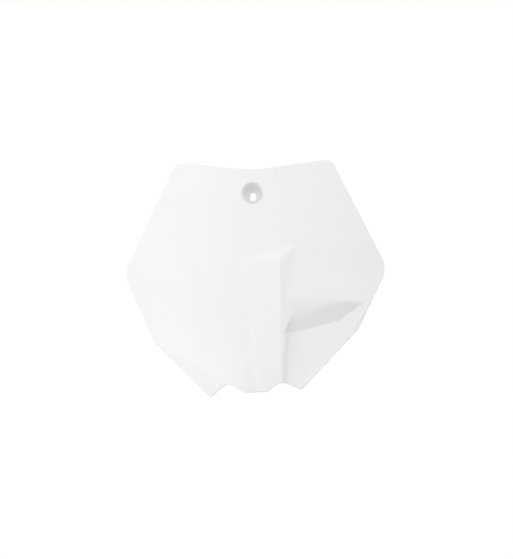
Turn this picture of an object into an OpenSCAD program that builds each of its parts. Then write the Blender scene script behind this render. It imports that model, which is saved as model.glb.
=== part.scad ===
// Front number board for an off-road motorcycle: one thin moulded shell with a screw cup.
// Millimetres. X to the viewer's right, Y towards the fork, Z up.
// The origin is the centre of the screw slot, on the back face of the cup.

/* [Outline] */
// Distance from the middle to the top left corner
top_left_w = 85.5; // [78:0.5:94]
// Distance from the middle to the top right corner
top_right_w = 87.5; // [78:0.5:96]
// Height of the top corners above the slot
top_corner_z = 40; // [36:0.5:50]
// Height of the middle of the top edge above the slot, before it is rounded
top_dip_z = 26.5; // [24:0.5:31]
// Half width at the side corners
side_half_w = 148; // [138:0.5:156]
// Height of the side corners, below the slot
side_z = -81; // [-92:0.5:-72]
// Distance from the middle to the left chin corner
left_chin_w = 110.5; // [104:0.5:117]
// Height of the left chin corner, below the slot
left_chin_z = -162; // [-168:0.5:-155]
// Distance from the middle to the right chin corner
right_chin_w = 113.5; // [108:0.5:119]
// Height of the right chin corner, below the slot
right_chin_z = -149; // [-156:0.5:-143]
// Distance of each lower tip from the middle
tip_x = 50; // [46:0.5:56]
// Height of the left lower tip
left_tip_z = -221.5; // [-226:0.5:-215]
// Height of the right lower tip
right_tip_z = -214.5; // [-222:0.5:-212]
// Distance of each arch in the bottom edge from the middle
arch_x = 29; // [26:0.5:33]
// Height of the top of the arches, before they are rounded
arch_z = -206; // [-209:0.5:-203]
// Half width of the lobe between the arches
lobe_half_w = 12.5; // [9:0.5:16]
// Height of the bottom of the lobe
lobe_z = -217; // [-221:0.5:-214]

/* [Corner rounding] */
// Radius of the top corners
top_r = 8; // [3:0.5:14]
// Radius of the dip in the top edge
dip_r = 140; // [80:5:230]
// Radius of the side corners
side_r = 24; // [10:0.5:32]
// Radius of the left chin corner
left_chin_r = 25; // [12:1:45]
// Radius of the right chin corner
right_chin_r = 40; // [12:1:60]
// Radius of the lower tips
tip_r = 2; // [1:0.25:3]
// Radius of the arches
arch_r = 9; // [5:0.5:11]
// Radius of the lobe's corners
lobe_r = 6; // [3:0.5:8]

/* [Shell] */
// Thickness of the moulded wall
wall = 2.5; // [1.8:0.1:3.5]
// How far the front of the shell stands ahead of the bracket face
stand_off = 16; // [14:0.5:20]
// Radius of the front across the board
barrel_r = 355; // [320:5:420]
// Height below which the front leans back
lean_z = -62; // [-70:1:-54]
// How far the lower front leans back, in degrees
lower_lean = 3.5; // [2.5:0.1:4.5]

/* [Screw cup] */
// Diameter of the cup at its mouth
cup_d = 24.5; // [22:0.5:28]
// Diameter of the cup at its floor
floor_d = 17; // [14:0.5:19]
// Thickness of the cup's floor
floor_t = 3; // [2:0.25:4.5]
// Height of the cup's axis above the slot's centre
cup_z = 2; // [0:0.25:3]
// Width of the slot for the screw
slot_w = 6.5; // [5:0.25:7.5]
// Height of the slot
slot_h = 10; // [8:0.25:11]
// Thickness of the gussets round the cup
gusset_t = 2; // [1.5:0.25:3]
// How far the gussets reach from the cup's axis
gusset_reach = 27; // [22:0.5:32]

/* [Centre rib of the front] */
// Height where the raised band starts
band_top_z = -73; // [-78:0.5:-68]
// How far the band's left edge stands ahead of the main front
band_proud = 0.5; // [0.3:0.1:1.5]
// How far the band runs back towards the bottom, in degrees
band_lean = 3.2; // [2.6:0.1:3.8]
// Turn of the band towards the left side, in degrees
band_turn = 6.5; // [5:0.25:9]
// Slope of the band's top end, in degrees
band_top_slope = 35; // [25:1:50]
// Left edge of the band at its top
band_left_top_x = -9; // [-14:0.5:-5]
// Left edge of the band at the bottom of the board
band_left_low_x = 4; // [0:0.5:8]
// Right edge of the band
band_right_x = 29.5; // [26:0.5:31]
// Slope of the band's left flank, in degrees
band_left_slope = 30; // [20:1:50]
// Slope of the band's right flank, in degrees
band_right_slope = 44; // [36:0.5:48]

/* [Brow above the step] */
// Distance from the middle to where the brow starts beside the band
brow_x = 40; // [36:0.5:44]
// Height where it starts there
brow_z = -66; // [-70:0.5:-64]
// How far the brow stands ahead of the main front where it starts
brow_proud = 0.4; // [0.2:0.1:1.2]
// Turn of the brow up to the crease, in degrees
brow_turn = 12.6; // [12:0.1:13.4]
// How far the brow comes forward towards the bottom, in degrees
brow_rise = 1.2; // [0:0.1:2]
// Height where the brow starts at the crease
brow_end_z = -87; // [-91:0.5:-83]
// Turn of the brow past the crease, in degrees
brow_end_turn = 19; // [18.5:0.1:19.8]
// Height where the brow rolls under, above the step
lip_z = -116.5; // [-120:0.5:-112]
// Pitch of the rolled lip, in degrees
lip_pitch = 11; // [8:0.5:14]

/* [Step] */
// Distance of the step's inner corner from the middle
step_x = 34; // [32:0.5:38]
// Height of the step's inner corner
step_z = -154; // [-160:0.5:-148]
// Depth of the lower panel at the step's inner corner, ahead of the bracket face
step_y = -2.5; // [-4:0.1:0]
// Distance of the crease in the lower panel from the middle
crease_x = 91.5; // [84:0.5:96]
// Turn of the lower panel up to the crease, in degrees
panel_turn = 10.1; // [9:0.1:11]
// Turn of the lower panel towards the left, past the crease, in degrees
facet_turn = 3.1; // [2:0.1:5]
// Pitch of the step's underside, in degrees
roof_pitch = 27.2; // [25:0.1:30]
// Turn of the step's underside, in degrees
roof_turn = 17.5; // [16:0.1:19]
// Slant of the wall beside the centre band, in degrees
step_wall_slant = 4.4; // [0:0.1:8]

/* [Lower edges] */
// Height of the left bevel's crease at the chin corner
bevel_z = -160.5; // [-164:0.5:-157]
// Turn of the left bevel, in degrees
bevel_turn = 33; // [30:0.5:36]
// Pitch of the left bevel, in degrees
bevel_pitch = 33; // [30:0.5:36]
// Width of the turned-up strip along the lower right edge, where it ends at the tip
strip_w = 7; // [4:0.25:9]
// Slope of the turned-up strip, in degrees
strip_slope = 14; // [8:1:20]

/* [Back] */
// Distance between the two locating pegs
peg_spacing = 44; // [38:1:50]
// Height of the pegs, below the slot
peg_z = -140; // [-146:1:-130]
// Diameter of each peg
peg_d = 8; // [6:0.5:10]
// Length of each peg past its shoulder
peg_len = 13; // [8:0.5:16]
// Diameter of the shoulder under each peg
shoulder_d = 15; // [13:0.5:18]

/* [Hidden] */
$fn = 96;
big = 400;
outline = [
    [-top_left_w, top_corner_z, top_r],
    [0, top_dip_z, dip_r],
    [top_right_w, top_corner_z, top_r],
    [side_half_w, side_z, side_r],
    [right_chin_w, right_chin_z, right_chin_r],
    [tip_x, right_tip_z, tip_r],
    [arch_x, arch_z, arch_r],
    [lobe_half_w, lobe_z, lobe_r],
    [-lobe_half_w, lobe_z, lobe_r],
    [-arch_x, arch_z, arch_r],
    [-tip_x, left_tip_z, tip_r],
    [-left_chin_w, left_chin_z, left_chin_r],
    [-side_half_w, side_z, side_r]
];
// depth of the main front's surface at a point of the front view
function upright_y(x) = barrel_r - stand_off - sqrt(barrel_r * barrel_r - x * x);
function leaned_y(x, z) = barrel_r - stand_off + (lean_z - z) * tan(lower_lean)
    - sqrt(barrel_r * barrel_r - x * x) / cos(lower_lean);
function front_y(x, z) = max(upright_y(x), leaned_y(x, z));
cup_front_y = front_y(0, cup_z);

// corner helpers for the outline
function at(i) = outline[(i + len(outline)) % len(outline)];
function xy(p) = [p[0], p[1]];
function unit(v) = v / norm(v);
function into(i) = unit(xy(at(i)) - xy(at(i - 1)));
function out_of(i) = unit(xy(at(i + 1)) - xy(at(i)));
function turn(i) = let (a = into(i), b = out_of(i)) a[0] * b[1] - a[1] * b[0];
function half_turn(i) = acos(into(i) * out_of(i)) / 2;
function set_back(i) = at(i)[2] * tan(half_turn(i));
function side_of(i) = turn(i) < 0 ? -1 : 1;
function arc_start(i) = xy(at(i)) - into(i) * set_back(i);
function arc_centre(i) = arc_start(i) + side_of(i) * at(i)[2] * [-into(i)[1], into(i)[0]];
function arc_steps(i) = max(3, ceil(half_turn(i) / 4));
function arc_point(i, t) = let (
        from = arc_start(i) - arc_centre(i),
        a = side_of(i) * 2 * half_turn(i) * t
    )
    arc_centre(i) + [from[0] * cos(a) - from[1] * sin(a), from[0] * sin(a) + from[1] * cos(a)];

// the front view's outline with its rounded corners
module outline_2d() {
    polygon([
        for (i = [0:len(outline) - 1])
            for (k = [0:arc_steps(i)])
                arc_point(i, k / arc_steps(i))
    ]);
}

// a prism along Y over a front-view drawing
module along_y(y0, y1) {
    translate([0, y1, 0])
        rotate([90, 0, 0])
            linear_extrude(height = y1 - y0)
                children();
}

// everything behind a plane that is turned about Z, then leaned about its own X
module behind(point, turn_deg, pitch_deg, inset = 0) {
    translate(point)
        rotate([pitch_deg, 0, turn_deg])
            translate([-big, inset, -big])
                cube([2 * big, big, 2 * big]);
}

module ahead_of(point, turn_deg, pitch_deg, inset = 0) {
    translate(point)
        rotate([pitch_deg, 0, turn_deg])
            translate([-big, inset - big, -big])
                cube([2 * big, big, 2 * big]);
}

// the bowed main form: an upright barrel that leans back below one height
module barrel(inset) {
    translate([0, barrel_r - stand_off, lean_z]) {
        intersection() {
            cylinder(h = big, r = barrel_r - inset, center = true, $fn = 360);
            rotate([lower_lean, 0, 0])
                cylinder(h = 2 * big, r = barrel_r - inset, center = true, $fn = 360);
        }
    }
}

// two flats that come forward above the step
module brow(inset) {
    start = [brow_x, front_y(brow_x, brow_z) - brow_proud, brow_z];
    knee = [crease_x, front_y(crease_x, brow_end_z) - brow_proud, brow_end_z];
    lip = [brow_x, start[1] - (brow_z - lip_z) * tan(brow_rise) / cos(brow_turn), lip_z];
    near_x = band_right_x + 1;
    intersection() {
        behind(start, brow_turn, -brow_rise, inset);
        behind(knee, brow_end_turn, -brow_rise, inset);
        behind(lip, brow_turn, lip_pitch, inset);
        along_y(-60, 60)
            polygon([
                [near_x, band_top_z - brow_proud],
                [brow_x, brow_z],
                [crease_x, brow_end_z],
                [side_half_w + 10, brow_end_z],
                [side_half_w + 10, lobe_z - 20],
                [near_x, lobe_z - 20]
            ]);
    }
}

// the raised band down the middle, flush at its left edge and crisp at its right one
module band(inset) {
    start = [band_left_top_x, front_y(band_left_top_x, band_top_z) - band_proud, band_top_z];
    width = band_right_x - band_left_top_x;
    edge = start + [width, -width * tan(band_turn), 0];
    left_lean = atan2(band_left_low_x - band_left_top_x, band_top_z - lobe_z);
    intersection() {
        behind(start, -band_turn, band_lean, inset);
        translate(start)
            rotate([0, -left_lean, 0])
                rotate([band_lean, 0, -band_left_slope])
                    translate([-big, inset, -big])
                        cube([2 * big, big, 2 * big]);
        behind(edge, band_right_slope, band_lean, inset);
        behind(edge, -band_turn, -band_top_slope, inset);
        behind(edge, band_right_slope, -band_top_slope, inset);
    }
}

// the room in front of the step, taken out of the lower right
module step_room(inset) {
    corner = [step_x, step_y, step_z];
    chin = [right_chin_w, right_chin_z];
    tip = [tip_x, right_tip_z];
    inward = unit(tip - chin);
    along = unit(tip + strip_w * [inward[1], -inward[0]] - chin);
    slopes = [tan(panel_turn), 0] + tan(strip_slope) * [along[1], -along[0]];
    strip_turn = atan(slopes[0]);
    foot = [chin[0], step_y + (chin[0] - step_x) * tan(panel_turn), chin[1]];
    knee = [crease_x, step_y + (crease_x - step_x) * tan(panel_turn), step_z];
    intersection() {
        translate(corner)
            rotate([0, step_wall_slant, 0])
                translate([-inset, -big, -big])
                    cube([big, 2 * big, 2 * big]);
        ahead_of(corner, roof_turn, roof_pitch, inset);
        ahead_of(corner, panel_turn, 0, inset);
        ahead_of(knee, -facet_turn, 0, inset);
        ahead_of(foot, strip_turn, atan(-slopes[1] * cos(strip_turn)), inset);
    }
}

// the solid that lies behind the front surface, drawn in by the inset
module form(inset) {
    bevel_at = [-left_chin_w, front_y(-left_chin_w, bevel_z), bevel_z];
    difference() {
        union() {
            barrel(inset);
            brow(inset);
            band(inset);
        }
        step_room(inset);
        ahead_of(bevel_at, -bevel_turn, bevel_pitch, inset);
    }
}

// the cup's outside, from the shell back to the bracket
module cup_solid() {
    reach = stand_off + 8;
    widen = (cup_d - floor_d) * (reach - floor_t) / (-cup_front_y - floor_t);
    intersection() {
        translate([0, 0, cup_z])
            rotate([90, 0, 0])
                cylinder(h = reach, d1 = floor_d + 2 * wall, d2 = floor_d + 2 * wall + widen);
        form(wall / 2);
    }
}

// the cup's inside, open to the front
module cup_room() {
    depth = -cup_front_y - floor_t;
    translate([0, -floor_t, cup_z])
        rotate([90, 0, 0])
            cylinder(h = 2 * depth, d1 = floor_d, d2 = 2 * cup_d - floor_d);
}

// the upright slot in the cup's floor
module screw_slot() {
    run = slot_h / 2 - slot_w / 2;
    for (side = [-1, 1]) {
        translate([0, 5, side * run])
            rotate([90, 0, 0])
                cylinder(h = floor_t + 10, d = slot_w);
    }
    translate([-slot_w / 2, -floor_t - 5, -run])
        cube([slot_w, floor_t + 10, 2 * run]);
}

// gussets between the cup and the back of the shell
module gussets() {
    intersection() {
        translate([0, 0, cup_z])
            for (a = [45:90:315]) {
                rotate([0, a, 0])
                    translate([0, 0, -gusset_t / 2])
                        linear_extrude(height = gusset_t)
                            polygon([
                                [floor_d / 2, cup_front_y],
                                [gusset_reach, cup_front_y],
                                [gusset_reach, cup_front_y + 2 * wall],
                                [floor_d / 2 + wall, -floor_t],
                                [floor_d / 2, -floor_t]
                            ]);
            }
        form(wall / 2);
    }
}

// the two pegs that push into the grommets of the lower bracket
module pegs() {
    shoulder_y = front_y(0, peg_z) + 2 * wall + 4;
    for (side = [-1, 1]) {
        translate([side * peg_spacing / 2, shoulder_y, peg_z])
            rotate([-90, 0, 0])
                cylinder(h = peg_len, d = peg_d);
        intersection() {
            translate([side * peg_spacing / 2, shoulder_y, peg_z])
                rotate([90, 0, 0])
                    cylinder(h = 30, d = shoulder_d);
            form(wall / 2);
        }
    }
}

// the whole moulding
module number_board() {
    color([0.95, 0.95, 0.94])
        difference() {
            union() {
                difference() {
                    intersection() {
                        along_y(-50, 60)
                            outline_2d();
                        form(0);
                    }
                    form(wall);
                }
                cup_solid();
                gussets();
                pegs();
            }
            cup_room();
            screw_slot();
        }
}

number_board();
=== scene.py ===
import math

import bmesh
import bpy
from bpy.props import FloatProperty, FloatVectorProperty, PointerProperty
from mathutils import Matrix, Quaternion, Vector


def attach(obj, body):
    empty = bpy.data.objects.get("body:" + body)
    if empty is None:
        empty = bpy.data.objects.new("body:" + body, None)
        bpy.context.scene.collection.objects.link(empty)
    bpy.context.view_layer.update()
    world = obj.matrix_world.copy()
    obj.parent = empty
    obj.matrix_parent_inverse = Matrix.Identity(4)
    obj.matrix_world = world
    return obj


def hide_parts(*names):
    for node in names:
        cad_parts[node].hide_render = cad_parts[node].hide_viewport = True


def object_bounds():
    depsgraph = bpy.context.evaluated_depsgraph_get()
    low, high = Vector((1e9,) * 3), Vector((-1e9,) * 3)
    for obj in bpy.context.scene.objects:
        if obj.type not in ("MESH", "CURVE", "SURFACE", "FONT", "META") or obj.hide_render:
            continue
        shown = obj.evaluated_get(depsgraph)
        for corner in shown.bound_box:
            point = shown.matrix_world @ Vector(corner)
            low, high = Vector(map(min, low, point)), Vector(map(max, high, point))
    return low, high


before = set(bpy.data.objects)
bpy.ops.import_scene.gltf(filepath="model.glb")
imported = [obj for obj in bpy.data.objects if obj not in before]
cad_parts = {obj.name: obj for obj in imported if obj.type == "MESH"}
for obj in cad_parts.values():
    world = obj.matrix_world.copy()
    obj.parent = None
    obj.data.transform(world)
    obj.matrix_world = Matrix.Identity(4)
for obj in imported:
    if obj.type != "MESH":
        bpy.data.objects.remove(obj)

bl_info = {
    "name": "Racing Number Board",
    "version": (1, 0, 0),
    "blender": (4, 5, 0),
    "location": "View3D > Sidebar > Number Board",
    "description": "Builds the moulded front number board of an off-road motorcycle and its stage",
    "category": "Object",
}

MM = 0.001
CAD_BOX = [list(corner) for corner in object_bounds()]

# The photograph: its size in pixels, what one pixel shows of the board, and the point in its middle
PHOTO_SIZE = (513, 559)
PHOTO_SCALE = 1.105 * MM
PHOTO_MIDDLE = (2.59 * MM, 0.0, -92.8 * MM)


# Properties

def length(name, description, mm):
    """A length property, with its default given in millimetres."""
    return FloatProperty(name=name, description=description, default=mm * MM,
                         unit="LENGTH", precision=4, step=0.1)


def angle(name, description, degrees):
    """An angle property, with its default given in degrees."""
    return FloatProperty(name=name, description=description, default=math.radians(degrees),
                         unit="ROTATION", subtype="ANGLE")


def srgb(hex_value):
    """The linear colour of an sRGB hex value such as F2F2F0."""
    parts = [int(hex_value[i:i + 2], 16) / 255 for i in (0, 2, 4)]
    return tuple(p / 12.92 if p <= 0.04045 else ((p + 0.055) / 1.055) ** 2.4 for p in parts)


def colour(name, description, hex_value):
    """A colour property, with its default given as an sRGB hex value."""
    return FloatVectorProperty(name=name, description=description, default=srgb(hex_value),
                               subtype="COLOR", min=0.0, max=1.0, size=3)


class BoardOutline(bpy.types.PropertyGroup):
    """The front view of the board: half widths from the middle, heights from the screw slot."""
    top_left_w: length("Top left width", "Distance from the middle to the top left corner", 85.5)
    top_right_w: length("Top right width", "Distance from the middle to the top right corner", 87.5)
    top_corner_z: length("Top corner height", "Height of the top corners above the slot", 40.2)
    top_dip_z: length("Top dip height", "Height of the middle of the top edge, before rounding",
                      26.4)
    side_half_w: length("Side half width", "Half width at the side corners", 148)
    side_z: length("Side height", "Height of the side corners", -81)
    left_chin_w: length("Left chin width", "Distance from the middle to the left chin corner",
                        110.7)
    left_chin_z: length("Left chin height", "Height of the left chin corner", -162)
    right_chin_w: length("Right chin width", "Distance from the middle to the right chin corner",
                         113.6)
    right_chin_z: length("Right chin height", "Height of the right chin corner", -148.7)
    tip_x: length("Tip distance", "Distance of each lower tip from the middle", 50.5)
    left_tip_z: length("Left tip height", "Height of the left lower tip", -221.5)
    right_tip_z: length("Right tip height", "Height of the right lower tip", -214.5)
    arch_x: length("Arch distance", "Distance of each arch in the bottom edge from the middle", 29)
    arch_z: length("Arch height", "Height of the top of the arches, before rounding", -206)
    lobe_half_w: length("Lobe half width", "Half width of the lobe between the arches", 12.5)
    lobe_z: length("Lobe height", "Height of the bottom of the lobe", -217)
    top_r: length("Top corner radius", "Radius of the top corners", 8)
    dip_r: length("Dip radius", "Radius of the dip in the top edge", 140)
    side_r: length("Side corner radius", "Radius of the side corners", 24)
    left_chin_r: length("Left chin radius", "Radius of the left chin corner", 25)
    right_chin_r: length("Right chin radius", "Radius of the right chin corner", 40)
    tip_r: length("Tip radius", "Radius of the lower tips", 2)
    arch_r: length("Arch radius", "Radius of the arches", 9)
    lobe_r: length("Lobe radius", "Radius of the lobe's corners", 6)


class BoardFront(bpy.types.PropertyGroup):
    """The moulded front: the bowed main form, its band and brow, the step and the lower edges."""
    wall: length("Wall", "Thickness of the moulded wall", 2.5)
    rim_round: length("Rim rounding", "Rounding of the board's edges", 0.55)
    stand_off: length("Stand-off", "How far the front stands ahead of the bracket face", 16)
    barrel_r: length("Barrel radius", "Radius of the front across the board", 355)
    lean_z: length("Lean height", "Height below which the front leans back", -62)
    lower_lean: angle("Lower lean", "How far the lower front leans back", 3.5)
    tail_z: length("Tail height", "Height below which the front bends back a little further", -130)
    tail_lean: angle("Tail lean", "How much further the front leans back there", 2.5)
    band_top_z: length("Band top", "Height where the raised band starts", -73)
    band_proud: length("Band proud", "How far the band's left edge stands ahead of the front", 0.5)
    band_lean: angle("Band lean", "How far the band runs back towards the bottom", 3.2)
    band_turn: angle("Band turn", "Turn of the band towards the left side", 8)
    band_top_slope: angle("Band top slope", "Slope of the band's top end", 35)
    band_left_top_x: length("Band left, top", "Left edge of the band at its top", -9)
    band_left_low_x: length("Band left, bottom", "Left edge of the band at the bottom", 4)
    band_right_x: length("Band right", "Right edge of the band", 29.5)
    band_left_slope: angle("Band left slope", "Slope of the band's left flank", 30)
    band_right_slope: angle("Band right slope", "Slope of the band's right flank", 26)
    brow_x: length("Brow start", "Distance from the middle to where the brow starts", 40)
    brow_z: length("Brow height", "Height where the brow starts beside the band", -66)
    brow_proud: length("Brow proud", "How far the brow stands ahead where it starts", 0.4)
    brow_turn: angle("Brow turn", "Turn of the brow up to the crease", 12.6)
    brow_rise: angle("Brow rise", "How far the brow comes forward towards the bottom", 1.2)
    brow_end_z: length("Brow height at the crease", "Height where the brow starts at the crease",
                       -87)
    brow_end_turn: angle("Brow end turn", "Turn of the brow past the crease", 19)
    lip_z: length("Lip height", "Height where the brow rolls under, above the step", -116.5)
    lip_pitch: angle("Lip pitch", "Pitch of the rolled lip", 11)
    step_x: length("Step distance", "Distance of the step's inner corner from the middle", 34)
    step_z: length("Step height", "Height of the step's inner corner", -154)
    step_y: length("Step depth", "Depth of the lower panel at that corner", -2.5)
    crease_x: length("Crease distance", "Distance of the crease in the lower panel", 91.5)
    panel_turn: angle("Panel turn", "Turn of the lower panel up to the crease", 10.1)
    facet_turn: angle("Facet turn", "Turn of the lower panel towards the left, past the crease",
                      3.1)
    roof_pitch: angle("Roof pitch", "Pitch of the step's underside", 27.2)
    roof_turn: angle("Roof turn", "Turn of the step's underside", 17.5)
    step_wall_slant: angle("Wall slant", "Slant of the wall beside the centre band", 4.4)
    wall_corner_z: length("Wall corner height", "Height where that wall turns away below the roof",
                          -148.5)
    wall_corner_slant: angle("Wall corner slant", "Slant of the wall above that height", 30)
    bevel_z: length("Bevel height", "Height of the left bevel's crease at the chin corner", -160.5)
    bevel_turn: angle("Bevel turn", "Turn of the left bevel", 29)
    bevel_pitch: angle("Bevel pitch", "Pitch of the left bevel", 27.6)
    strip_w: length("Strip width", "Width at the tip of the turned-up strip on the lower right",
                    7)
    strip_slope: angle("Strip slope", "Slope of the turned-up strip", 14)


class BoardFittings(bpy.types.PropertyGroup):
    """The screw cup with its slot and gussets, and the pegs on the back."""
    cup_d: length("Cup diameter", "Diameter of the cup at its mouth", 24.5)
    floor_d: length("Floor diameter", "Diameter of the cup at its floor", 17)
    floor_t: length("Floor thickness", "Thickness of the cup's floor", 3)
    cup_z: length("Cup height", "Height of the cup's axis above the slot's centre", 1.2)
    mouth_r: length("Mouth rounding", "Rounding where the front turns into the cup", 0.8)
    slot_w: length("Slot width", "Width of the slot for the screw", 6.5)
    slot_h: length("Slot height", "Height of the slot for the screw", 10)
    gusset_t: length("Gusset thickness", "Thickness of the gussets round the cup", 2)
    gusset_reach: length("Gusset reach", "How far the gussets reach from the cup's axis", 27)
    peg_spacing: length("Peg spacing", "Distance between the two locating pegs", 44)
    peg_z: length("Peg height", "Height of the pegs", -140)
    peg_d: length("Peg diameter", "Diameter of each peg", 8)
    peg_len: length("Peg length", "Length of each peg past its shoulder", 13)
    shoulder_d: length("Shoulder diameter", "Diameter of the shoulder under each peg", 15)


class BoardLook(bpy.types.PropertyGroup):
    """The finish of the moulding, and the studio it is shown in."""
    plastic: colour("Plastic", "Colour of the moulded polypropylene", "F1F1F0")
    shade: colour("Plastic shade", "Slightly duller tone of the same plastic", "EDEDEC")
    floor: colour("Floor", "Colour of the studio floor", "EEEEEE")
    turn: angle("Camera turn", "How far the camera stands to the right of straight ahead", 3)
    tilt: angle("Camera tilt", "How far the camera looks down, below zero where it looks up", -8)
    roll: angle("Camera roll", "Turn of the picture about the line of sight", 0.65)
    distance: length("Camera distance", "Distance from the camera to the board", 1200)


# The front surface

def soft_max(a, b, k):
    """The larger of two depths, rounded where they are closer than k."""
    h = max(k - abs(a - b), 0.0) / k
    return max(a, b) + h * h * k / 4


def soft_min(a, b, k):
    """The smaller of two depths, rounded where they are closer than k."""
    return -soft_max(-a, -b, k)


def ramp(t):
    """A smooth step from 0 to 1."""
    t = min(max(t, 0.0), 1.0)
    return t * t * (3 - 2 * t)


class Flat:
    """A flat part of the front: its depth at any point of the front view."""

    def __init__(self, point, across, down):
        self.point = point
        self.across = across
        self.down = down
        self.stretch = math.sqrt(1 + across * across + down * down)

    @classmethod
    def turned(cls, point, turn, pitch=0.0):
        return cls(point, math.tan(turn), -math.tan(pitch) / math.cos(turn))

    def at(self, x, z, inset=0.0):
        px, py, pz = self.point
        return py + self.across * (x - px) + self.down * (z - pz) + inset * self.stretch

    def sloped(self, point, direction, slope):
        """The flat that leaves this one at a line of the front view and drops back beside it."""
        nx, nz = direction
        start = (point[0], self.at(*point), point[1])
        return Flat(start, self.across + slope * nx, self.down + slope * nz)


class Front:
    """Depth of the board's front at a point of the front view, and the lines where it turns."""

    # How far the parts of the front round into each other
    soft_lean = 2.2 * MM
    soft_brow = 0.7 * MM
    soft_knee = 0.5 * MM
    soft_band = 0.30 * MM
    soft_band_side = 0.9 * MM
    soft_band_top = 3.0 * MM
    soft_roll = 0.8 * MM
    soft_tail = 25 * MM
    soft_lip = 2.4 * MM
    crisp = 0.22 * MM
    soft_bevel = 0.5 * MM
    soft_wall_end = 1.5 * MM
    # How far the wall beside the band runs sideways, and how far below the lip the rounding reaches
    wall_run = 1.0 * MM
    lip_reach = 3.0 * MM
    # The brow's upper edges: how they slope, and how far they stay off the band
    brow_top_slope = 0.25
    brow_corner_slope = 0.35
    brow_corner_gap = 1.0 * MM
    brow_side_slope = 0.9
    brow_side_gap = 1.5 * MM

    def __init__(self, p, o):
        self.p = p
        main = self.main
        band_y = main(p.band_left_top_x, p.band_top_z) - p.band_proud
        self.band_flat = Flat.turned(
            (p.band_left_top_x, band_y, p.band_top_z), -p.band_turn, p.band_lean)
        fall = o.lobe_z - p.band_top_z
        side = Vector((p.band_left_low_x - p.band_left_top_x, fall)).normalized()
        self.band_left = self.band_flat.sloped(
            (p.band_left_top_x, p.band_top_z), (side.y, -side.x),
            math.tan(p.band_left_slope - p.band_turn))
        band_corner = (p.band_right_x, p.band_top_z)
        self.band_right = self.band_flat.sloped(
            band_corner, (1.0, 0.0), math.tan(p.band_right_slope + p.band_turn))
        self.band_top = self.band_flat.sloped(band_corner, (0.0, 1.0), math.tan(p.band_top_slope))
        brow_at = (p.brow_x, main(p.brow_x, p.brow_z) - p.brow_proud, p.brow_z)
        knee_at = (p.crease_x, main(p.crease_x, p.brow_end_z) - p.brow_proud, p.brow_end_z)
        self.brow_near = Flat.turned(brow_at, p.brow_turn, -p.brow_rise)
        self.brow_far = Flat.turned(knee_at, p.brow_end_turn, -p.brow_rise)
        rise = Vector((p.crease_x - p.brow_x, p.brow_end_z - p.brow_z)).normalized()
        near = Vector((p.brow_x - p.band_right_x - self.brow_corner_gap,
                       p.brow_z - p.band_top_z + p.brow_proud)).normalized()
        brow_start = (p.brow_x, p.brow_z)
        self.brow_top = self.brow_near.sloped(brow_start, (-rise.y, rise.x), self.brow_top_slope)
        self.brow_corner = self.brow_near.sloped(
            brow_start, (-near.y, near.x), self.brow_corner_slope)
        self.brow_side = self.brow_near.sloped(
            (p.band_right_x + self.brow_side_gap, p.brow_z), (-1.0, 0.0), self.brow_side_slope)
        lip_at = (p.brow_x, self.brow_near.at(p.brow_x, p.lip_z), p.lip_z)
        self.lip = Flat.turned(lip_at, p.brow_turn, p.lip_pitch)
        corner = (p.step_x, p.step_y, p.step_z)
        self.roof = Flat.turned(corner, p.roof_turn, p.roof_pitch)
        self.panel = Flat.turned(corner, p.panel_turn)
        crease_y = self.panel.at(p.crease_x, p.step_z)
        self.facet = Flat.turned((p.crease_x, crease_y, p.step_z), -p.facet_turn)
        chin = Vector((o.right_chin_w, o.right_chin_z))
        tip = Vector((o.tip_x, o.right_tip_z))
        inward = (tip - chin).normalized()
        along = (tip + p.strip_w * Vector((inward.y, -inward.x)) - chin).normalized()
        self.strip = self.panel.sloped(tuple(chin), (along.y, -along.x), math.tan(p.strip_slope))
        bevel_y = main(-o.left_chin_w, p.bevel_z)
        self.left_bevel = Flat.turned(
            (-o.left_chin_w, bevel_y, p.bevel_z), -p.bevel_turn, p.bevel_pitch)

    def upright(self, x, inset=0.0):
        """The upright upper part of the main form, bowed across the board."""
        r = self.p.barrel_r
        return r - self.p.stand_off - math.sqrt((r - inset) ** 2 - x * x)

    def leaned(self, x, z, inset=0.0):
        """The lower part of the main form, which leans back."""
        p = self.p
        back = (p.lean_z - z) * math.tan(p.lower_lean)
        bow = math.sqrt((p.barrel_r - inset) ** 2 - x * x) / math.cos(p.lower_lean)
        return p.barrel_r - p.stand_off + back - bow

    def tail(self, z):
        """How far the lower end bends back at one height."""
        below = self.p.tail_z - z
        k = self.soft_tail
        eased = max(below, (below + k) ** 2 / (4 * k)) if below < k else below
        return math.tan(self.p.tail_lean) * (eased if below > -k else 0.0)

    def main(self, x, z, inset=0.0):
        return soft_max(self.upright(x, inset), self.leaned(x, z, inset), self.soft_lean)

    def brow(self, x, z, inset=0.0):
        y = soft_max(self.brow_near.at(x, z, inset), self.brow_far.at(x, z, inset), self.soft_knee)
        y = soft_max(y, self.brow_side.at(x, z, inset), self.soft_knee)
        y = soft_max(y, self.brow_corner.at(x, z, inset), self.soft_brow)
        y = soft_max(y, self.brow_top.at(x, z, inset), self.soft_brow)
        return soft_max(y, self.lip.at(x, z, inset), self.soft_roll)

    def band(self, x, z, inset=0.0):
        y = self.band_flat.at(x, z, inset)
        y = soft_max(y, self.band_right.at(x, z, inset), self.soft_band)
        y = soft_max(y, self.band_left.at(x, z, inset), self.soft_band_side)
        return soft_max(y, self.band_top.at(x, z, inset), self.soft_band_top)

    def upper(self, x, z, inset=0.0):
        """The front without the step and the bevels."""
        y = soft_min(self.main(x, z, inset), self.brow(x, z, inset), self.soft_brow)
        return soft_min(y, self.band(x, z, inset), self.soft_band_side) + self.tail(z)

    def bevel(self, x, z, inset=0.0):
        return self.left_bevel.at(x, z, inset) + self.tail(z)

    def floor(self, x, z, inset=0.0):
        y = soft_min(self.panel.at(x, z, inset), self.facet.at(x, z, inset), self.crisp)
        return soft_min(y, self.strip.at(x, z, inset), self.crisp)

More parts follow.
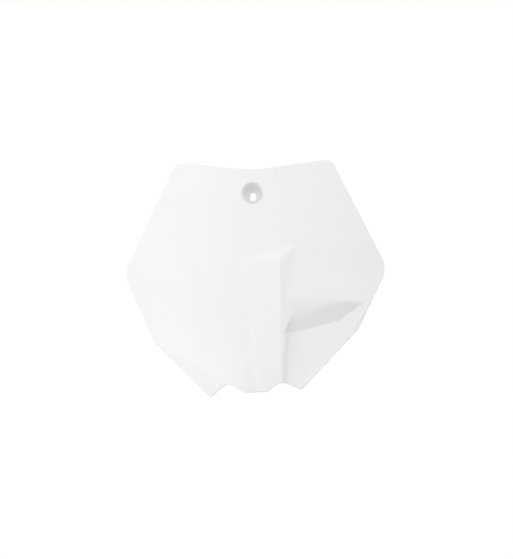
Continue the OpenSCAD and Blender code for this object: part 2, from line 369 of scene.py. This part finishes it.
    def sunk(self, x, z, inset=0.0):
        """The bottom of the room in front of the step."""
        return soft_min(self.roof.at(x, z, inset), self.floor(x, z, inset), self.crisp)

    def wall_side(self, x, z, inset=0.0):
        """Distance past the wall beside the band, towards the right."""
        p = self.p
        lean = (z - p.step_z) * math.tan(p.step_wall_slant)
        away = (z - p.wall_corner_z) * math.tan(p.wall_corner_slant)
        return x - p.step_x + inset - soft_max(lean, away, self.soft_wall_end)

    def depth(self, x, z, inset=0.0):
        """Depth of the finished front, or of its back where the inset is the wall."""
        p = self.p
        high = self.upper(x, z, inset)
        past = self.wall_side(x, z, inset)
        if past > 0:
            low = self.sunk(x, z, inset)
            roofed = ramp((self.floor(x, z, inset) - self.roof.at(x, z, inset)) / self.lip_reach)
            roofed *= 1 - ramp((x - p.brow_x) / (p.crease_x - p.brow_x))
            soft = self.crisp + (self.soft_lip - self.crisp) * roofed
            low = soft_max(high, low, soft)
            high += (low - high) * ramp(past / self.wall_run)
        return soft_max(high, self.bevel(x, z, inset), self.soft_bevel)

    def lines(self, inset=0.0):
        """Lines of the front view that the mesh follows.

        Each is a function of x and z, the levels where the mesh is cut along it, the box in
        millimetres where it runs (x from and to, z from and to), and a test of where it counts.
        """
        def gap(a, b):
            return lambda x, z: a(x, z, inset) - b(x, z, inset)

        def below_roof(x, z):
            return self.roof.at(x, z, inset) > self.upper(x, z, inset) - 4 * MM

        def in_step(x, z):
            return self.wall_side(x, z, inset) > -2 * MM and below_roof(x, z)

        def on_brow(x, z):
            return not below_roof(x, z)

        def anywhere(x, z):
            return True

        lip, crisp, bevel, knee = self.soft_lip, self.crisp, self.soft_bevel, self.soft_knee
        edge, side, top = self.soft_band, self.soft_band_side, self.soft_band_top
        step_box = (24, 150, -225, -100)
        band_box = (-22, 48, -225, -50)
        left_box = (-150, 4, -225, -135)
        brow_box = (80, 105, -140, -75)
        return [
            (gap(self.upper, self.sunk), (-lip, -lip / 2, 0, lip / 2, lip), step_box, in_step),
            (gap(self.roof.at, self.floor), (-crisp, 0, crisp), step_box, in_step),
            (gap(self.panel.at, self.facet.at), (-crisp, 0, crisp), step_box, in_step),
            (gap(self.panel.at, self.strip.at), (-crisp, 0, crisp), step_box, in_step),
            (lambda x, z: self.wall_side(x, z, inset), (0, self.wall_run / 2, self.wall_run),
             step_box, below_roof),
            (gap(self.band_flat.at, self.band_right.at), (-edge, 0, edge), band_box, anywhere),
            (gap(self.band_flat.at, self.band_left.at), (-side, 0, side), band_box, anywhere),
            (gap(self.band_flat.at, self.band_top.at), (-top, 0, top), band_box, anywhere),
            (gap(self.brow_near.at, self.brow_far.at), (-knee, 0, knee), brow_box, on_brow),
            (gap(self.upper, self.bevel), (-bevel, 0, bevel), left_box, anywhere),
        ]


# Mesh tools

def outline_corners(o):
    """The corners of the front view with their radii, clockwise from the dip in the top edge."""
    return [
        (0.0, o.top_dip_z, o.dip_r),
        (o.top_right_w, o.top_corner_z, o.top_r),
        (o.side_half_w, o.side_z, o.side_r),
        (o.right_chin_w, o.right_chin_z, o.right_chin_r),
        (o.tip_x, o.right_tip_z, o.tip_r),
        (o.arch_x, o.arch_z, o.arch_r),
        (o.lobe_half_w, o.lobe_z, o.lobe_r),
        (-o.lobe_half_w, o.lobe_z, o.lobe_r),
        (-o.arch_x, o.arch_z, o.arch_r),
        (-o.tip_x, o.left_tip_z, o.tip_r),
        (-o.left_chin_w, o.left_chin_z, o.left_chin_r),
        (-o.side_half_w, o.side_z, o.side_r),
        (-o.top_left_w, o.top_corner_z, o.top_r),
    ]


def add_outline(bm, o, longest):
    """One flat face with the board's outline: rounded corners, and no edge longer than given."""
    corners = outline_corners(o)
    verts = [bm.verts.new((x, 0.0, z)) for x, z, r in corners]
    bmesh.ops.contextual_create(bm, geom=verts)
    turns = []
    for i, (x, z, r) in enumerate(corners):
        before = verts[i - 1].co - verts[i].co
        after = verts[(i + 1) % len(verts)].co - verts[i].co
        half_turn = (math.pi - before.angle(after)) / 2
        segments = max(4, math.ceil(math.degrees(half_turn) / 3))
        turns.append((verts[i], r * math.tan(half_turn), segments))
    for vert, set_back, segments in turns:
        bmesh.ops.bevel(bm, geom=[vert], offset=set_back, offset_type="OFFSET", segments=segments,
                        profile=0.5, affect="VERTICES", clamp_overlap=False, material=-1)
    bmesh.ops.delete(bm, geom=bm.faces[:], context="FACES_ONLY")
    groups = {}
    for edge in bm.edges:
        cuts = math.ceil(edge.calc_length() / longest) - 1
        if cuts > 0:
            groups.setdefault(cuts, []).append(edge)
    for cuts, group in groups.items():
        bmesh.ops.subdivide_edges(bm, edges=group, cuts=cuts)
    return bmesh.ops.contextual_create(bm, geom=bm.edges[:])["faces"][0]


def cut_grid(bm, rim_faces, origin, spacing):
    """Cuts the sheet inside its rim by upright and level lines."""
    for axis, normal in ((0, (1, 0, 0)), (2, (0, 0, 1))):
        low = min(v.co[axis] for v in bm.verts)
        high = max(v.co[axis] for v in bm.verts)
        first = math.ceil((low - origin[axis]) / spacing)
        last = math.floor((high - origin[axis]) / spacing)
        for i in range(first, last + 1):
            point = Vector(origin)
            point[axis] += i * spacing
            faces = [f for f in bm.faces if f not in rim_faces]
            inside = {e for f in faces for e in f.edges}
            corners = {v for f in faces for v in f.verts}
            bmesh.ops.bisect_plane(bm, geom=[*corners, *inside, *faces], dist=0.2 * MM,
                                   plane_co=point, plane_no=normal)


def cut_along(bm, level, box, reach, snap, fixed):
    """Cuts the flat sheet along the line where level(x, z) is zero, within its box and reach.

    A point nearer to the line than snap is moved onto it, so that no sliver is left beside it.
    """
    x0, x1, z0, z1 = (v * MM for v in box)
    value = {v: level(*v.co.xz) for v in bm.verts if x0 < v.co.x < x1 and z0 < v.co.z < z1}
    eps = 0.02 * MM
    on_line = set()
    for vert, g in value.items():
        x, z = vert.co.x, vert.co.z
        if abs(g) > NEAR_LINE or vert in fixed or not reach(x, z):
            continue
        gx = (level(x + eps, z) - g) / eps
        gz = (level(x, z + eps) - g) / eps
        steep = math.hypot(gx, gz)
        if steep > 1e-6 and abs(g) / steep < snap:
            vert.co.x -= g * gx / (steep * steep)
            vert.co.z -= g * gz / (steep * steep)
            value[vert] = 0.0
            on_line.add(vert)
    near = {e for v in value for e in v.link_edges if e.other_vert(v) in value}
    crossing = [e for e in sorted(near, key=lambda e: e.index)
                if value[e.verts[0]] * value[e.verts[1]] < 0
                and reach(*(((e.verts[0].co + e.verts[1].co) / 2).xz))]
    for edge in crossing:
        a, b = edge.verts
        lo, hi = 0.0, 1.0
        start = value[a]
        for _ in range(24):
            mid = (lo + hi) / 2
            here = a.co.lerp(b.co, mid)
            if level(here.x, here.z) * start > 0:
                lo = mid
            else:
                hi = mid
        on_line.add(bmesh.utils.edge_split(edge, a, (lo + hi) / 2)[1])
    if len(on_line) > 1:
        bmesh.ops.connect_verts(bm, verts=list(on_line), check_degenerate=False)


def remove_old(name):
    """Removes the object of that name, where an earlier build left one."""
    old = bpy.data.objects.get(name)
    if old:
        bpy.data.objects.remove(old, do_unlink=True)


def write_mesh(bm, name, material):
    """Puts a finished bmesh into an object at the origin, in place of an older one of that name."""
    remove_old(name)
    for face in bm.faces:
        face.smooth = True
    mesh = bpy.data.meshes.new(name)
    bm.to_mesh(mesh)
    bm.free()
    obj = bpy.data.objects.new(name, mesh)
    bpy.context.scene.collection.objects.link(obj)
    mesh.materials.append(material)
    return obj


# Pieces

# The mesh: its grid, the half side of the square left out for the cup, and the band along the rim
GRID = 2.5 * MM
CUP_BLOCK = 7 * GRID
RIM_BAND = 1.3 * MM
# Points nearer to a fold than this are tried for a move onto it, and moved where they are this near
NEAR_LINE = 0.6 * MM
SNAP = 0.16 * MM


def block_angle(x, z, half):
    """Evenly spaced angle of a point on the edge of the square block round the cup."""
    if abs(x) >= abs(z):
        turn = z / half * math.pi / 4
        return turn if x > 0 else math.pi - turn
    turn = x / half * math.pi / 4
    return math.pi / 2 - turn if z > 0 else -math.pi / 2 + turn


def slot_point(turn, width, height):
    """Point of the slot's outline in one direction from its centre, as x and z."""
    half, run = width / 2, (height - width) / 2
    c, s = math.cos(turn), math.sin(turn)
    if abs(c) > 1e-9 and abs(s / c) * half <= run:
        side = math.copysign(half, c)
        return side, side * s / c
    end = math.copysign(run, s)
    along = end * s + math.sqrt(max(half * half - (end * c) ** 2, 0.0))
    return along * c, along * s


def grow_ring(bm, loop, angles, place):
    """Extrudes a closed loop of edges and moves each new point to its place."""
    old = {v for e in loop for v in e.verts}
    made = bmesh.ops.extrude_edge_only(bm, edges=loop)["geom"]
    verts = [g for g in made if isinstance(g, bmesh.types.BMVert)]
    for vert in verts:
        source = next(e.other_vert(vert) for e in vert.link_edges if e.other_vert(vert) in old)
        angles[vert] = angles[source]
        vert.co = place(angles[vert], source)
    fresh = set(verts)
    return [g for g in made if isinstance(g, bmesh.types.BMEdge)
            and g.verts[0] in fresh and g.verts[1] in fresh]


def add_cup(bm, front, fit, wall):
    """Sinks the screw cup into both sides of the board and joins them through the slot."""
    half = CUP_BLOCK
    inner = [f for f in bm.faces if abs(f.calc_center_median().x) < half
             and abs(f.calc_center_median().z - fit.cup_z) < half]
    bmesh.ops.delete(bm, geom=inner, context="FACES")
    loops = {}
    for edge in bm.edges:
        if edge.is_boundary:
            at = edge.verts[0].co
            side = "back" if at.y > front.depth(*at.xz) + wall / 2 else "front"
            loops.setdefault(side, []).append(edge)
    angles = {}
    for edges in loops.values():
        for edge in edges:
            for v in edge.verts:
                angles[v] = block_angle(v.co.x, v.co.z - fit.cup_z, half)

    depth = -front.upright(0.0) - fit.floor_t
    lean = (fit.cup_d - fit.floor_d) / 2 / depth

    def circle(radius, y=None, inset=0.0):
        def place(turn, source):
            x, z = radius * math.cos(turn), fit.cup_z + radius * math.sin(turn)
            return Vector((x, front.depth(x, z, inset) if y is None else y, z))
        return place

    def between(radius, t, inset=0.0):
        def place(turn, source):
            spread = half / max(abs(math.cos(turn)), abs(math.sin(turn)))
            r = radius + (spread - radius) * (1 - t)
            x, z = r * math.cos(turn), fit.cup_z + r * math.sin(turn)
            return Vector((x, front.depth(x, z, inset), z))
        return place

    def sunk(radius, drop):
        def place(turn, source):
            x, z = radius * math.cos(turn), fit.cup_z + radius * math.sin(turn)
            return Vector((x, front.depth(x, z) + drop, z))
        return place

    r = fit.mouth_r
    mouth = fit.cup_d / 2
    loop = loops["front"]
    for t in (0.3, 0.6, 0.85):
        loop = grow_ring(bm, loop, angles, between(mouth + r, t))
    loop = grow_ring(bm, loop, angles, circle(mouth + r))
    for i in range(1, 6):
        a = i / 6 * math.pi / 2
        loop = grow_ring(bm, loop, angles, sunk(mouth + r - r * math.sin(a), r - r * math.cos(a)))
    floor_y = -fit.floor_t
    corner = 1.5 * MM
    floor_r = fit.floor_d / 2
    loop = grow_ring(bm, loop, angles, sunk(mouth - lean * r * 0.9, r))
    middle_y = (-front.p.stand_off + r + floor_y - corner) / 2
    loop = grow_ring(bm, loop, angles, circle((mouth + floor_r) / 2, middle_y))
    for i in range(0, 5):
        a = i / 4 * math.pi / 2
        loop = grow_ring(bm, loop, angles, circle(
            floor_r - corner + corner * math.cos(a) + lean * corner * (1 - math.sin(a)),
            floor_y - corner + corner * math.sin(a)))

    def slot_ring(grow, y):
        def place(turn, source):
            x, z = slot_point(turn, fit.slot_w + 2 * grow, fit.slot_h + 2 * grow)
            return Vector((x, y, z))
        return place

    soft = 0.3 * MM
    loop = grow_ring(bm, loop, angles, slot_ring(soft, floor_y))
    loop = grow_ring(bm, loop, angles, slot_ring(soft * 0.3, floor_y + soft * 0.3))
    loop = grow_ring(bm, loop, angles, slot_ring(0.0, floor_y + soft))
    loop = grow_ring(bm, loop, angles, slot_ring(0.0, -soft))
    loop = grow_ring(bm, loop, angles, slot_ring(soft * 0.3, -soft * 0.3))
    loop = grow_ring(bm, loop, angles, slot_ring(soft, 0.0))
    outer = floor_r + wall
    loop = grow_ring(bm, loop, angles, circle(outer - 0.8 * MM, 0.0))
    loop = grow_ring(bm, loop, angles, circle(outer - 0.2 * MM, -0.2 * MM))
    loop = grow_ring(bm, loop, angles, circle(outer, -0.8 * MM))
    back_y = front.depth(0.0, fit.cup_z, wall)
    top_r = outer + lean * (-back_y - 1.5 * MM)
    loop = grow_ring(bm, loop, angles, circle((outer + top_r) / 2, back_y / 2))
    loop = grow_ring(bm, loop, angles, circle(top_r, back_y + 1.2 * MM))
    loop = grow_ring(bm, loop, angles, circle(top_r + 0.5 * MM, back_y + 0.5 * MM))
    loop = grow_ring(bm, loop, angles, circle(top_r + 1.2 * MM, None, wall))
    bmesh.ops.bridge_loops(bm, edges=[*loop, *loops["back"]])


def add_gussets(bm, front, fit, wall):
    """Four thin webs between the cup and the back of the board."""
    lip = front.depth(0.0, fit.cup_z)
    profile = [
        ((fit.cup_d + wall) / 2, lip + wall / 2),
        (fit.gusset_reach, lip + wall / 2),
        (fit.gusset_reach, lip + 2 * wall),
        (fit.floor_d / 2 + wall, -fit.floor_t),
        ((fit.floor_d + wall) / 2, -fit.floor_t),
    ]
    for k in range(4):
        turn = math.radians(45 + 90 * k)
        out = Vector((math.cos(turn), 0.0, math.sin(turn)))
        across = Vector((-math.sin(turn), 0.0, math.cos(turn))) * fit.gusset_t
        base = Vector((0.0, 0.0, fit.cup_z)) - across / 2
        verts = [bm.verts.new(base + out * r + Vector((0.0, y, 0.0))) for r, y in profile]
        face = bmesh.ops.contextual_create(bm, geom=verts)["faces"][0]
        made = bmesh.ops.extrude_face_region(bm, geom=[face], use_keep_orig=True)["geom"]
        moved = [g for g in made if isinstance(g, bmesh.types.BMVert)]
        bmesh.ops.translate(bm, verts=moved, vec=across)
        piece = verts + moved
        faces = {f for v in piece for f in v.link_faces}
        bmesh.ops.recalc_face_normals(bm, faces=list(faces))
        edges = [e for e in {e for f in faces for e in f.edges} if e.calc_length() > 1e-6]
        bmesh.ops.bevel(bm, geom=edges, offset=0.4 * MM, offset_type="OFFSET", segments=2,
                        profile=0.5, affect="EDGES", clamp_overlap=True, material=-1)


def add_pegs(bm, front, fit, wall):
    """Two stepped pegs that push into the grommets of the lower bracket."""
    seat = front.main(0.0, fit.peg_z) + 2 * wall + 4 * MM
    soft = 0.7 * MM
    r, R = fit.peg_d / 2, fit.shoulder_d / 2
    end = seat + fit.peg_len
    outline = [
        (R, seat - soft), (R - 0.2 * MM, seat - 0.2 * MM), (R - soft, seat),
        (r + soft, seat), (r + 0.2 * MM, seat + 0.2 * MM), (r, seat + soft),
        (r, end - 2 * MM), (r - 0.4 * MM, end - 0.9 * MM), (r - 1.1 * MM, end - 0.2 * MM),
        (r - 1.9 * MM, end), (0.0, end),
    ]
    for side in (-1, 1):
        centre = Vector((side * fit.peg_spacing / 2, 0.0, fit.peg_z))
        base = front.depth(centre.x, centre.z) + wall / 2
        verts = [bm.verts.new(centre + Vector((a, y, 0.0))) for a, y in [(R, base), *outline]]
        edges = [bm.edges.new(pair) for pair in zip(verts, verts[1:])]
        made = bmesh.ops.spin(bm, geom=verts + edges, cent=centre, axis=(0, 1, 0),
                              angle=math.tau, steps=40, use_merge=True, use_duplicate=False)
        near = [v for v in bm.verts if v.co.y > seat
                and (Vector((v.co.x, 0, v.co.z)) - centre).length < 0.1 * MM]
        bmesh.ops.remove_doubles(bm, verts=near, dist=0.001 * MM)


def build_board(props):
    """The whole moulding as one bmesh: a flat sheet, cut, given its two faces, and dressed."""
    front = Front(props.front, props.outline)
    wall = props.front.wall
    bm = bmesh.new()
    sheet = add_outline(bm, props.outline, GRID)
    rim = bmesh.ops.inset_region(bm, faces=[sheet], thickness=RIM_BAND,
                                  use_boundary=True, use_even_offset=True)["faces"]
    cut_grid(bm, set(rim), (0.0, 0.0, props.fittings.cup_z), GRID)
    for inset in (0.0, wall):
        for level, levels, box, reach in front.lines(inset):
            for value in levels:
                fixed = {v for v in bm.verts if v.is_boundary}
                bm.edges.index_update()
                cut_along(bm, lambda x, z: level(x, z) - value, box, reach, SNAP, fixed)
    made = bmesh.ops.extrude_face_region(bm, geom=bm.faces[:], use_keep_orig=True)["geom"]
    behind = {g for g in made if isinstance(g, bmesh.types.BMVert)}
    for vert in bm.verts:
        vert.co.y = front.depth(vert.co.x, vert.co.z, wall if vert in behind else 0.0)
    bmesh.ops.recalc_face_normals(bm, faces=bm.faces[:])
    sides = [f for f in bm.faces if 0 < sum(v in behind for v in f.verts) < len(f.verts)]
    walls = set(sides)
    edges = [e for f in sides for e in f.edges if any(g not in walls for g in e.link_faces)]
    bmesh.ops.bevel(bm, geom=edges, offset=props.front.rim_round, offset_type="OFFSET", segments=3,
                    profile=0.5, affect="EDGES", clamp_overlap=False, material=-1)
    add_cup(bm, front, props.fittings, wall)
    bmesh.ops.recalc_face_normals(bm, faces=bm.faces[:])
    add_gussets(bm, front, props.fittings, wall)
    add_pegs(bm, front, props.fittings, wall)
    return bm


# Materials

def add_node(tree, kind, links=(), **settings):
    """Adds a node, sets its sockets and properties, and links (output, input) pairs into it."""
    node = tree.nodes.new(kind)
    for key, value in settings.items():
        if key in node.inputs:
            node.inputs[key].default_value = value
        else:
            setattr(node, key, value)
    for output, name in links:
        tree.links.new(output, node.inputs[name])
    return node


def fresh_material(name):
    """The material of that name, with nothing in its node tree but the output."""
    material = bpy.data.materials.get(name) or bpy.data.materials.new(name)
    material.use_nodes = True
    material.node_tree.nodes.clear()
    return material, add_node(material.node_tree, "ShaderNodeOutputMaterial")


# Patches of gloss about 70 mm wide, and an orange peel of about 2 mm, the finest that shows
FLOW_SCALE = 14.0
PEEL_SCALE = 450.0


def moulded_plastic(look):
    """Injection moulded polypropylene from a polished tool.

    It gives the eye a smooth, slightly waxy white, whose gloss is a little uneven where the melt
    flowed, over a faint orange peel.
    """
    material, out = fresh_material("moulded_polypropylene")
    tree = material.node_tree
    where = add_node(tree, "ShaderNodeTexCoord").outputs["Object"]
    flow = add_node(tree, "ShaderNodeTexNoise", [(where, "Vector")],
                    Scale=FLOW_SCALE, Detail=2.0, Roughness=0.5)
    tone = add_node(tree, "ShaderNodeMix", [(flow.outputs["Fac"], "Factor")], data_type="RGBA")
    tone.inputs["A"].default_value = (*look.plastic, 1)
    tone.inputs["B"].default_value = (*look.shade, 1)
    gloss = add_node(tree, "ShaderNodeMapRange", [(flow.outputs["Fac"], "Value")])
    gloss.inputs["To Min"].default_value = 0.2
    gloss.inputs["To Max"].default_value = 0.3
    peel = add_node(tree, "ShaderNodeTexNoise", [(where, "Vector")], Scale=PEEL_SCALE, Detail=1.0)
    bump = add_node(tree, "ShaderNodeBump", [(peel.outputs["Fac"], "Height")],
                    Strength=0.04, Distance=0.0003)
    shader = add_node(tree, "ShaderNodeBsdfPrincipled", [
        (tone.outputs["Result"], "Base Color"),
        (gloss.outputs["Result"], "Roughness"),
        (bump.outputs["Normal"], "Normal"),
    ], IOR=1.49)
    tree.links.new(shader.outputs["BSDF"], out.inputs["Surface"])
    return material


# Stage

# The studio's light: a little from all round, and soft lights as (direction, strength)
ROOM_LIGHT = 0.08
SOFT_LIGHTS = (
    ((-1.0, -0.35, 0.1), 1.65),
    ((-0.6, -0.9, 0.0), 0.9),
    ((1.0, -0.4, 0.1), 0.15),
    ((0.7, -0.6, 0.6), 1.85),
    ((0.0, 1.0, 0.2), 0.7),
)
SOFT_FALL = 4.0
# Painted glow of the floor left of the board, which lights the board from below left like a lamp,
# and where it ends and begins across the floor
FLOOR_GLOW = 0.31
FLOOR_GLOW_EDGE = (0.0, -80 * MM)
# How much paler than its own light the camera sees the floor
FLOOR_PALE = 0.25
# The lamp: place, size and power, and what it points at
LAMP = ((-1.2, -1.8, 1.0), 1.6, 2)
BOARD_MIDDLE = (0.0, 0.0, -0.09)


def studio_floor(look):
    """A pale matt floor, clear from below, with a painted glow on its left part that lights the
    board from below left.

    The camera of the photograph stands a little below the floor.
    """
    material, out = fresh_material("studio_floor")
    tree = material.node_tree
    below = add_node(tree, "ShaderNodeNewGeometry").outputs["Backfacing"]
    card = add_node(tree, "ShaderNodeBsdfDiffuse", Color=(*look.floor, 1))
    where = add_node(tree, "ShaderNodeTexCoord").outputs["Object"]
    apart = add_node(tree, "ShaderNodeSeparateXYZ", [(where, 0)])
    # Painted glow: for all but camera rays the floor left of the board gives off light onto the
    # board from below left; the camera sees the whole floor glow evenly
    lit = add_node(tree, "ShaderNodeMapRange", [(apart.outputs["X"], "Value")])
    lit.inputs["From Min"].default_value, lit.inputs["From Max"].default_value = FLOOR_GLOW_EDGE
    lit.inputs["To Max"].default_value = FLOOR_GLOW
    seen = add_node(tree, "ShaderNodeLightPath").outputs["Is Camera Ray"]
    strength = add_node(tree, "ShaderNodeMix", [(seen, 0), (lit.outputs["Result"], 2)])
    strength.inputs[3].default_value = FLOOR_PALE
    glow = add_node(tree, "ShaderNodeEmission", [(strength.outputs[0], "Strength")])
    both = add_node(tree, "ShaderNodeAddShader", [(card.outputs[0], 0), (glow.outputs[0], 1)])
    clear = add_node(tree, "ShaderNodeBsdfTransparent")
    mixed = add_node(tree, "ShaderNodeMixShader",
                     [(below, 0), (both.outputs[0], 1), (clear.outputs[0], 2)])
    tree.links.new(mixed.outputs[0], out.inputs["Surface"])
    return material


def light_room(scene):
    """The world: white for the camera, gloss and glass, and the soft lights for the rest."""
    world = scene.world or bpy.data.worlds.new("studio")
    scene.world = world
    world.use_nodes = True
    tree = world.node_tree
    tree.nodes.clear()
    out = add_node(tree, "ShaderNodeOutputWorld")
    path = add_node(tree, "ShaderNodeLightPath").outputs
    seen = add_node(tree, "ShaderNodeMath", [
        (path["Is Camera Ray"], 0), (path["Is Glossy Ray"], 1)], operation="MAXIMUM")
    seen = add_node(tree, "ShaderNodeMath", [
        (seen.outputs[0], 0), (path["Is Transmission Ray"], 1)], operation="MAXIMUM")
    way = add_node(tree, "ShaderNodeTexCoord").outputs["Generated"]
    light = add_node(tree, "ShaderNodeValue")
    light.outputs[0].default_value = ROOM_LIGHT
    for direction, strength in SOFT_LIGHTS:
        facing = add_node(tree, "ShaderNodeVectorMath", [(way, 0)], operation="DOT_PRODUCT")
        facing.inputs[1].default_value = Vector(direction).normalized()
        facing = add_node(tree, "ShaderNodeMath", [(facing.outputs["Value"], 0)],
                          operation="MAXIMUM")
        facing.inputs[1].default_value = 0.0
        facing = add_node(tree, "ShaderNodeMath", [(facing.outputs[0], 0)], operation="POWER")
        facing.inputs[1].default_value = SOFT_FALL
        light = add_node(tree, "ShaderNodeMath", [(facing.outputs[0], 0), (light.outputs[0], 2)],
                         operation="MULTIPLY_ADD")
        light.inputs[1].default_value = strength
    room = add_node(tree, "ShaderNodeBackground", [(light.outputs[0], "Strength")],
                    Color=(1, 1, 1, 1))
    white = add_node(tree, "ShaderNodeBackground", Color=(1, 1, 1, 1), Strength=1.0)
    mixed = add_node(tree, "ShaderNodeMixShader", [
        (seen.outputs[0], 0), (room.outputs[0], 1), (white.outputs[0], 2)])
    tree.links.new(mixed.outputs[0], out.inputs["Surface"])


def add_lamp(name, place, size, power):
    """A square soft lamp that points at the middle of the board."""
    remove_old(name)
    lamp = bpy.data.lights.new(name, "AREA")
    lamp.shape = "SQUARE"
    lamp.size = size
    lamp.energy = power
    obj = bpy.data.objects.new(name, lamp)
    bpy.context.scene.collection.objects.link(obj)
    obj.location = place
    obj.rotation_mode = "QUATERNION"
    obj.rotation_quaternion = (Vector(BOARD_MIDDLE) - Vector(place)).to_track_quat("-Z", "Y")


def add_camera(scene, look):
    """The camera at the photograph's angle, where the board fills the same part of the picture."""
    remove_old("photo_camera")
    data = bpy.data.cameras.new("photo_camera")
    data.sensor_width = 36.0
    data.lens = data.sensor_width * look.distance / (PHOTO_SCALE * PHOTO_SIZE[1])
    data.clip_start = 0.05
    camera = bpy.data.objects.new("photo_camera", data)
    scene.collection.objects.link(camera)
    back = Vector((math.sin(look.turn) * math.cos(look.tilt),
                   -math.cos(look.turn) * math.cos(look.tilt), math.sin(look.tilt)))
    camera.location = Vector(PHOTO_MIDDLE) + back * look.distance
    camera.rotation_mode = "QUATERNION"
    level = (-back).to_track_quat("-Z", "Y")
    camera.rotation_quaternion = level @ Quaternion((0, 0, 1), -look.roll)
    scene.camera = camera


# Operators

class NUMBERBOARD_OT_board(bpy.types.Operator):
    """Build the moulded board with its screw cup, gussets and pegs"""
    bl_idname = "number_board.board"
    bl_label = "Build Board"
    bl_options = {"REGISTER", "UNDO"}

    def execute(self, context):
        props = context.scene.number_board
        obj = write_mesh(build_board(props), "board_moulding", moulded_plastic(props.look))
        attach(obj, "root")
        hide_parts("number_board")
        return {"FINISHED"}


class NUMBERBOARD_OT_stage(bpy.types.Operator):
    """Build the floor, the white surround, the lamp and the camera"""
    bl_idname = "number_board.stage"
    bl_label = "Build Stage"
    bl_options = {"REGISTER", "UNDO"}

    def execute(self, context):
        look = context.scene.number_board.look
        bm = bmesh.new()
        bmesh.ops.create_grid(bm, x_segments=1, y_segments=1, size=3.0)
        bmesh.ops.translate(bm, verts=bm.verts[:], vec=(0, 0, CAD_BOX[0][2] - 0.5 * MM))
        floor = write_mesh(bm, "studio_floor", studio_floor(look))
        light_room(context.scene)
        add_lamp("key_softbox", *LAMP)
        add_camera(context.scene, look)
        context.scene.view_settings.view_transform = "Standard"
        return {"FINISHED"}


# Settings

class NumberBoardSettings(bpy.types.PropertyGroup):
    """All the sizes and colours of the number board."""
    outline: PointerProperty(type=BoardOutline)
    front: PointerProperty(type=BoardFront)
    fittings: PointerProperty(type=BoardFittings)
    look: PointerProperty(type=BoardLook)


class NUMBERBOARD_PT_panel(bpy.types.Panel):
    """Number board settings and build buttons"""
    bl_label = "Number Board"
    bl_idname = "NUMBERBOARD_PT_panel"
    bl_space_type = "VIEW_3D"
    bl_region_type = "UI"
    bl_category = "Number Board"

    def draw(self, context):
        layout = self.layout
        settings = context.scene.number_board
        for group in ("outline", "front", "fittings", "look"):
            box = layout.box()
            box.label(text=group.capitalize())
            values = getattr(settings, group)
            for name in values.bl_rna.properties.keys():
                if name not in {"rna_type", "name"}:
                    box.prop(values, name)
        layout.operator(NUMBERBOARD_OT_board.bl_idname)
        layout.operator(NUMBERBOARD_OT_stage.bl_idname)


CLASSES = (
    BoardOutline, BoardFront, BoardFittings, BoardLook, NumberBoardSettings,
    NUMBERBOARD_OT_board, NUMBERBOARD_OT_stage, NUMBERBOARD_PT_panel,
)


def register():
    for cls in CLASSES:
        bpy.utils.register_class(cls)
    bpy.types.Scene.number_board = PointerProperty(type=NumberBoardSettings)


def unregister():
    del bpy.types.Scene.number_board
    for cls in reversed(CLASSES):
        bpy.utils.unregister_class(cls)


def main():
    register()
    bpy.ops.number_board.stage()
    bpy.ops.number_board.board()
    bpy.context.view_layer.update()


if __name__ == "__main__":
    main()
